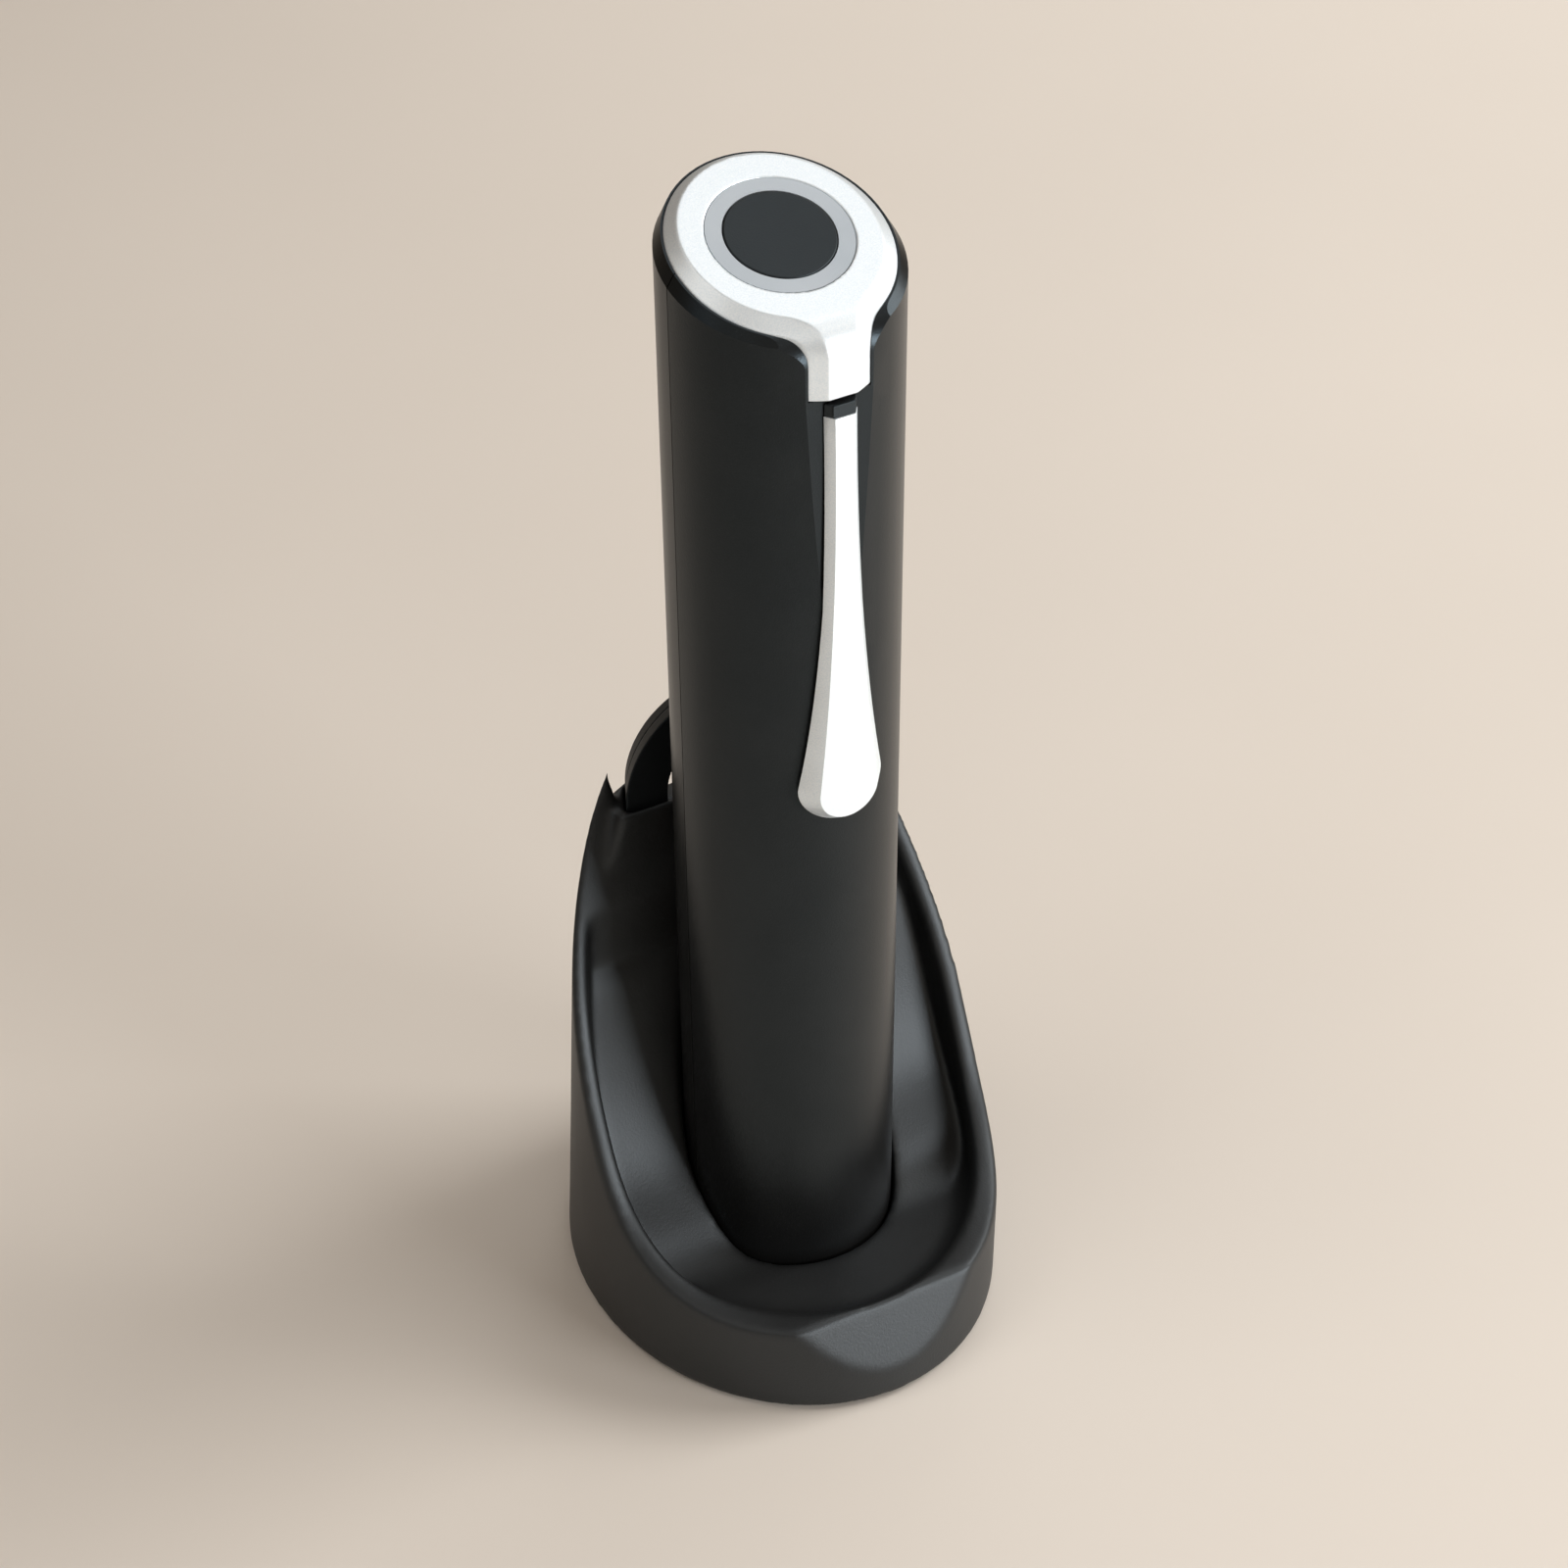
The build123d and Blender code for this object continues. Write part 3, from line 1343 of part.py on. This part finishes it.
# Chuck and worm
with BuildPart() as worm_chuck:
    with BuildSketch(on_axis(chuck_low)):
        Circle(chuck_r)
    extrude(amount=chuck_length)
    chamfer(worm_chuck.edges().sort_by(Axis.Z)[0], chuck_r / 4)
    with BuildSketch(on_axis(chuck_top)):
        Circle(output_r)
    extrude(amount=-chuck_length / 2, mode=Mode.SUBTRACT)
write_piece(worm_chuck, "worm_chuck")

worm_low = chuck_low + worm_grip - worm_turns * worm_pitch
worm_path = coil_path(worm_r, worm_pitch, worm_turns, (0, opener_y, worm_low))
with BuildPart() as worm:
    sweep(sections=coil_section(worm_path, worm_wire_r), path=worm_path)
    tip_plane = Plane(origin=worm_path @ 0, z_dir=(worm_path % 0) * -1)
    with BuildSketch(tip_plane):
        Circle(worm_wire_r)
    with BuildSketch(tip_plane.offset(4 * worm_wire_r)):
        Circle(worm_wire_r / 5)
    loft(ruled=True)
write_piece(worm, "worm")

# Bottle's way in: collar, neck guide and cork sleeve
collar_high = tube_bottom + collar_height
with BuildPart() as bottom_collar:
    with BuildSketch(on_axis(tube_bottom)):
        Circle(tube_low_r)
    extrude(amount=collar_lip - seat_gap)
    chamfer(bottom_collar.edges().sort_by(Axis.Z)[0], contact_recess)
    with BuildSketch(on_axis(tube_bottom)):
        Circle(tube_low_r - tube_wall - inner_gap)
    extrude(amount=collar_height)
    with BuildSketch(on_axis(tube_bottom)):
        Circle(guide_mouth_r)
    extrude(amount=collar_height, mode=Mode.SUBTRACT)
    with BuildSketch(on_axis(tube_bottom)):
        with GridLocations(2 * contact_x, 1, 2, 1):
            Circle(contact_r + seat_gap)
    extrude(amount=contact_recess + contact_thickness, mode=Mode.SUBTRACT)
write_piece(bottom_collar, "bottom_collar")

with BuildPart() as charge_contacts:
    with BuildSketch(on_axis(tube_bottom + contact_recess)):
        with GridLocations(2 * contact_x, 1, 2, 1):
            Circle(contact_r)
    extrude(amount=contact_thickness)
write_piece(charge_contacts, "charge_contacts")

with BuildPart() as neck_guide:
    with BuildSketch(on_axis(collar_high)):
        Circle(guide_mouth_r + guide_wall)
    extrude(amount=guide_top - collar_high)
    with BuildSketch(on_axis(guide_top - guide_wall)):
        Circle(tube_r(guide_top - guide_wall) - tube_wall - inner_gap)
    extrude(amount=guide_wall)
    with BuildSketch(on_axis(collar_high)):
        Circle(guide_mouth_r)
    with BuildSketch(on_axis(guide_top - guide_wall)):
        Circle(guide_throat_r)
    loft(ruled=True, mode=Mode.SUBTRACT)
    with BuildSketch(on_axis(guide_top)):
        Circle(guide_stop_r)
    extrude(amount=-2 * guide_wall, mode=Mode.SUBTRACT)
write_piece(neck_guide, "neck_guide")

with BuildPart() as cork_sleeve:
    with BuildSketch(on_axis(guide_top)):
        Circle(sleeve_r)
    extrude(amount=cover_low - guide_top)
    with BuildSketch(on_axis(cover_low - sleeve_flange)):
        Circle(tube_r(cover_low - sleeve_flange) - tube_wall - inner_gap)
    extrude(amount=sleeve_flange)
    with BuildSketch(on_axis(guide_top)):
        Circle(sleeve_bore_r)
        with PolarLocations(sleeve_bore_r, sleeve_rib_count):
            Rectangle(2 * sleeve_rib, sleeve_rib, mode=Mode.SUBTRACT)
    extrude(amount=cover_low - guide_top, mode=Mode.SUBTRACT)
write_piece(cork_sleeve, "cork_sleeve")
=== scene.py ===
import json
from math import radians

import bpy
from mathutils import Matrix, Vector

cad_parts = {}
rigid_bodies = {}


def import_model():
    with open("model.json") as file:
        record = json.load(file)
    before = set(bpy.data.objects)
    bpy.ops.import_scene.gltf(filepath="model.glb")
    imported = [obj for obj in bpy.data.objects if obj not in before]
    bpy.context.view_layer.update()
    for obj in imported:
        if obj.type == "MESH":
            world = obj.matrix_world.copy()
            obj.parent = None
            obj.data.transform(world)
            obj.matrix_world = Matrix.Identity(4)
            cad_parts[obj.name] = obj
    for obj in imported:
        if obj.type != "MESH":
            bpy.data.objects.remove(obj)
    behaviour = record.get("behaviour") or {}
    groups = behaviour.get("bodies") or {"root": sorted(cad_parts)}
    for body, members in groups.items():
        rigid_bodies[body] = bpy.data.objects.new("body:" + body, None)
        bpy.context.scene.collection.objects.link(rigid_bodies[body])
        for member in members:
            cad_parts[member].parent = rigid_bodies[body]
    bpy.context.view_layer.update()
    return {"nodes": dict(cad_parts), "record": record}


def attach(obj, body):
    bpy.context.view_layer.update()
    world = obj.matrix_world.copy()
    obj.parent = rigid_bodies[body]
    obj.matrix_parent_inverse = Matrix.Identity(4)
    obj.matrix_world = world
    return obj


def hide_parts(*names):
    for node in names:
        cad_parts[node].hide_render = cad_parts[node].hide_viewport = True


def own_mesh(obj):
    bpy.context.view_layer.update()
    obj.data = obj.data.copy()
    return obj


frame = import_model()
nodes = frame["nodes"]
scene = bpy.context.scene

# Noise of the materials, in features per metre, and depth of their relief, in metres
cloud_scale = 38.0
moulded_grain = 2600.0
flake_scale = 5200.0
tint_scale = 3200.0
line_scale = 420.0
line_stretch = (1.0, 1.0, 12.0)
paper_scale = 3.0
moulded_depth = 0.0002
worked_depth = 0.0001
flake_relief = 0.06
line_relief = 0.05

# Tints of the plastics' reflections
cool_sheen = (0.66, 0.86, 1.0, 1.0)
soft_sheen = (0.84, 0.93, 1.0, 1.0)

# Rounded edges, in metres
weld_reach = 0.000002
sharp_angle = radians(24)
edge_segments = 3
smooth_share = 0.5
lever_edge = 0.0004
carrier_edge = 0.0002

# Floor, in metres
floor_half = 4.0
floor_dark = (0.765, 0.715, 0.655)
floor_light = (0.785, 0.735, 0.675)
floor_rough = 0.8
floor_specular = 0.1

# Light
world_colour = (1.0, 0.76, 0.55, 1.0)
world_strength = 0.17
white_light = (1.0, 1.0, 1.0)
key_light = (1.0, 0.98, 0.95)
sky_light = (0.76, 0.89, 1.0)
fill_light = (1.0, 0.95, 0.89)
upper_light = (1.0, 0.96, 0.91)

# Camera, solved on the photograph: its axes, its place in metres and its lens in millimetres
camera_right = Vector((0.87877, -0.47720, -0.00710))
camera_up = Vector((0.30184, 0.54418, 0.78279))
camera_back = Vector((-0.36968, -0.69004, 0.62224))
camera_place = (-0.322494, -0.606450, 0.689274)
sensor_width = 36.0
focal_length = 89.84


# Materials
def new_material(name):
    """A node material, with its tree, its principled shader and its object coordinates."""
    material = bpy.data.materials.new(name)
    material.use_nodes = True
    tree = material.node_tree
    shader = tree.nodes["Principled BSDF"]
    place = tree.nodes.new("ShaderNodeTexCoord")
    return material, tree, shader, place.outputs["Object"]


def noise(tree, vector, scale, detail=3.0, rough=0.55):
    """Fractal noise at a scale in features per metre."""
    texture = tree.nodes.new("ShaderNodeTexNoise")
    texture.inputs["Scale"].default_value = scale
    texture.inputs["Detail"].default_value = detail
    texture.inputs["Roughness"].default_value = rough
    tree.links.new(vector, texture.inputs["Vector"])
    return texture.outputs["Fac"]


def ramp(tree, value, low, high, start=0.35, end=0.65):
    """Two colours blended over a stretch of a value."""
    node = tree.nodes.new("ShaderNodeValToRGB")
    node.color_ramp.elements[0].position = start
    node.color_ramp.elements[1].position = end
    node.color_ramp.elements[0].color = (*low, 1.0)
    node.color_ramp.elements[1].color = (*high, 1.0)
    tree.links.new(value, node.inputs["Fac"])
    return node.outputs["Color"]


def span(tree, value, low, high):
    """A value carried from 0..1 to a stretch."""
    node = tree.nodes.new("ShaderNodeMapRange")
    node.inputs["To Min"].default_value = low
    node.inputs["To Max"].default_value = high
    tree.links.new(value, node.inputs["Value"])
    return node.outputs["Result"]


def bump(tree, shader, height, strength, distance):
    """Fine relief on a shader's normal."""
    node = tree.nodes.new("ShaderNodeBump")
    node.inputs["Strength"].default_value = strength
    node.inputs["Distance"].default_value = distance
    tree.links.new(height, node.inputs["Height"])
    tree.links.new(node.outputs["Normal"], shader.inputs["Normal"])


def plastic(name, low, high, rough, grain=moulded_grain, relief=0.18, specular=0.45, sheen=cool_sheen):
    """Moulded plastic: fine eroded grain, slight cloudiness in colour and sheen."""
    material, tree, shader, place = new_material(name)
    cloud = noise(tree, place, cloud_scale)
    fine = noise(tree, place, grain, detail=2.0)
    tree.links.new(ramp(tree, cloud, low, high), shader.inputs["Base Color"])
    tree.links.new(span(tree, cloud, *rough), shader.inputs["Roughness"])
    shader.inputs["Specular IOR Level"].default_value = specular
    shader.inputs["Specular Tint"].default_value = sheen
    bump(tree, shader, fine, relief, moulded_depth)
    return material


def paint(name, low, high, rough, metallic):
    """Metallic paint: bright flakes in a satin coat."""
    material, tree, shader, place = new_material(name)
    flake = tree.nodes.new("ShaderNodeTexVoronoi")
    flake.inputs["Scale"].default_value = flake_scale
    tree.links.new(place, flake.inputs["Vector"])
    tint = noise(tree, place, tint_scale, detail=2.0)
    tree.links.new(ramp(tree, tint, low, high, start=0.3, end=0.7), shader.inputs["Base Color"])
    tree.links.new(span(tree, flake.outputs["Distance"], *rough), shader.inputs["Roughness"])
    shader.inputs["Metallic"].default_value = metallic
    bump(tree, shader, flake.outputs["Distance"], flake_relief, worked_depth)
    return material


def metal(name, low, high, rough):
    """Worked metal with faint lines round it."""
    material, tree, shader, place = new_material(name)
    stretch = tree.nodes.new("ShaderNodeMapping")
    stretch.inputs["Scale"].default_value = line_stretch
    tree.links.new(place, stretch.inputs["Vector"])
    lines = noise(tree, stretch.outputs["Vector"], line_scale)
    tree.links.new(ramp(tree, lines, low, high), shader.inputs["Base Color"])
    tree.links.new(span(tree, lines, *rough), shader.inputs["Roughness"])
    shader.inputs["Metallic"].default_value = 1.0
    bump(tree, shader, lines, line_relief, worked_depth)
    return material


tube_black = plastic(
    "tube_black", low=(0.006, 0.006, 0.006), high=(0.009, 0.009, 0.009), rough=(0.28, 0.34), specular=0.34
)
stand_black = plastic(
    "stand_black",
    low=(0.007, 0.007, 0.007),
    high=(0.011, 0.011, 0.011),
    rough=(0.46, 0.54),
    grain=1700.0,
    relief=0.20,
    specular=0.6,
    sheen=soft_sheen,
)
cutter_black = plastic(
    "cutter_black", low=(0.007, 0.008, 0.009), high=(0.010, 0.011, 0.012), rough=(0.46, 0.54), specular=0.20
)
disc_black = plastic("disc_black", low=(0.008, 0.008, 0.008), high=(0.012, 0.012, 0.012), rough=(0.40, 0.48))
inner_black = plastic("inner_black", low=(0.05, 0.05, 0.05), high=(0.065, 0.065, 0.065), rough=(0.45, 0.6))
gear_white = plastic("gear_white", low=(0.70, 0.68, 0.62), high=(0.80, 0.78, 0.72), rough=(0.35, 0.45))
board_green = plastic(
    "board_green", low=(0.02, 0.12, 0.06), high=(0.03, 0.17, 0.08), rough=(0.3, 0.45), grain=1400.0
)
cell_blue = plastic("cell_blue", low=(0.08, 0.20, 0.32), high=(0.10, 0.25, 0.38), rough=(0.22, 0.32))
rubber_black = plastic(
    "rubber_black",
    low=(0.03, 0.03, 0.03),
    high=(0.04, 0.04, 0.04),
    rough=(0.7, 0.85),
    grain=1500.0,
    relief=0.3,
)
light_grey = plastic(
    "light_grey",
    low=(0.42, 0.47, 0.52),
    high=(0.49, 0.54, 0.59),
    rough=(0.30, 0.38),
    grain=3000.0,
    relief=0.05,
)
silver_paint = paint(
    "silver_paint", low=(0.75, 0.84, 0.91), high=(0.88, 0.94, 0.98), rough=(0.34, 0.46), metallic=0.58
)
steel = metal("steel", low=(0.50, 0.50, 0.51), high=(0.62, 0.62, 0.63), rough=(0.22, 0.34))
brass = metal("brass", low=(0.62, 0.46, 0.20), high=(0.74, 0.58, 0.30), rough=(0.25, 0.36))

by_slot = {
    "stand_plastic": stand_black,
    "tube_plastic": tube_black,
    "cutter_plastic": cutter_black,
    "disc_plastic": disc_black,
    "silver": silver_paint,
    "light_plastic": light_grey,
    "inner_plastic": inner_black,
    "gear_plastic": gear_white,
    "board": board_green,
    "cell_wrap": cell_blue,
    "steel": steel,
    "brass": brass,
    "rubber": rubber_black,
}
for part in frame["record"]["subparts"]:
    piece = nodes[part["node"]]
    piece.data.materials.clear()
    piece.data.materials.append(by_slot[part["material_slot"]])


# Rounded edges of the moulded and cast pieces
def soften(name, voxel, rounds):
    """Rounds every edge of a node by smoothing a fine remesh of it."""
    piece = nodes[name]
    remesh = piece.modifiers.new("fine", "REMESH")
    remesh.mode = "VOXEL"
    remesh.voxel_size = voxel
    remesh.use_smooth_shade = True
    smooth = piece.modifiers.new("round", "SMOOTH")
    smooth.factor = smooth_share
    smooth.iterations = rounds


def break_edges(name, width):
    """Rounds the sharp edges of a node by a width and leaves its faces as they are."""
    piece = nodes[name]
    weld = piece.modifiers.new("weld", "WELD")
    weld.merge_threshold = weld_reach
    edge = piece.modifiers.new("edge", "BEVEL")
    edge.width = width
    edge.segments = edge_segments
    edge.limit_method = "ANGLE"
    edge.angle_limit = sharp_angle
    edge.harden_normals = True


soften("base_shell", voxel=0.0005, rounds=60)
soften("cutter_front_half", voxel=0.0003, rounds=12)
soften("cutter_rear_half", voxel=0.0003, rounds=12)
soften("top_cap", voxel=0.00022, rounds=10)
break_edges("lever", lever_edge)
break_edges("lever_carrier", carrier_edge)

# Springs under the charging pins, which shorten as the pins go down; here each coil is only copied onto its
# joint's parent body in place of the model's coil
for joint in frame["record"]["behaviour"]["joints"]:
    for change in joint.get("deforming_nodes", []):
        coil = change["node"]
        spring = bpy.data.objects.new(f"{coil}_coil", nodes[coil].data.copy())
        scene.collection.objects.link(spring)
        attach(spring, joint["parent"])
        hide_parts(coil)
        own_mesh(spring)

# Floor
floor_mesh = bpy.data.meshes.new("floor")
floor_corners = [
    (-floor_half, -floor_half, 0),
    (floor_half, -floor_half, 0),
    (floor_half, floor_half, 0),
    (-floor_half, floor_half, 0),
]
floor_mesh.from_pydata(floor_corners, [], [(0, 1, 2, 3)])
floor = bpy.data.objects.new("floor", floor_mesh)
scene.collection.objects.link(floor)
sheet, sheet_tree, sheet_shader, sheet_place = new_material("floor_paper")
sheet_cloud = noise(sheet_tree, sheet_place, paper_scale)
sheet_colour = ramp(sheet_tree, sheet_cloud, floor_dark, floor_light)
sheet_tree.links.new(sheet_colour, sheet_shader.inputs["Base Color"])
sheet_shader.inputs["Roughness"].default_value = floor_rough
sheet_shader.inputs["Specular IOR Level"].default_value = floor_specular
floor.data.materials.append(sheet)

# Room light
world = bpy.data.worlds.new("studio")
world.use_nodes = True
world.node_tree.nodes["Background"].inputs["Color"].default_value = world_colour
world.node_tree.nodes["Background"].inputs["Strength"].default_value = world_strength
scene.world = world


# Soft lights, in metres and watts
def softbox(name, place, target, size, power, colour):
    """A square soft light that faces a point."""
    lamp = bpy.data.lights.new(name, "AREA")
    lamp.size = size
    lamp.energy = power
    lamp.color = colour
    box = bpy.data.objects.new(name, lamp)
    box.location = place
    box.rotation_euler = (Vector(target) - Vector(place)).to_track_quat("-Z", "Y").to_euler()
    scene.collection.objects.link(box)


softbox("key", (1.5, -0.40, 1.2), (0, 0, 0.12), size=1.0, power=23.5, colour=key_light)
softbox("front", (0.60, -1.10, 0.16), (0, -0.03, 0.1), size=0.55, power=16.0, colour=white_light)
softbox("top", (0.41, 0.19, 1.35), (0, 0, 0.28), size=0.7, power=2.4, colour=white_light)
softbox("left", (-1.2, -0.3, 0.7), (0, 0, 0.12), size=0.7, power=0.9, colour=sky_light)
softbox("back", (0.62, 0.85, 0.50), (0.50, 0.70, 0), size=0.5, power=1.2, colour=key_light)
softbox("fill", (-0.55, -1.05, 1.05), (0, 0, 0.2), size=0.9, power=2.0, colour=fill_light)
softbox("upper_left", (-0.66, 0.06, 1.27), (0, 0, 0.28), size=0.7, power=2.4, colour=upper_light)

# Camera
lens = bpy.data.cameras.new("camera")
lens.sensor_width = sensor_width
lens.lens = focal_length
camera = bpy.data.objects.new("camera", lens)
camera_turn = Matrix((camera_right, camera_up, camera_back)).transposed()
camera.matrix_world = Matrix.Translation(camera_place) @ camera_turn.to_4x4()
scene.collection.objects.link(camera)
scene.camera = camera

scene.view_settings.view_transform = "Standard"
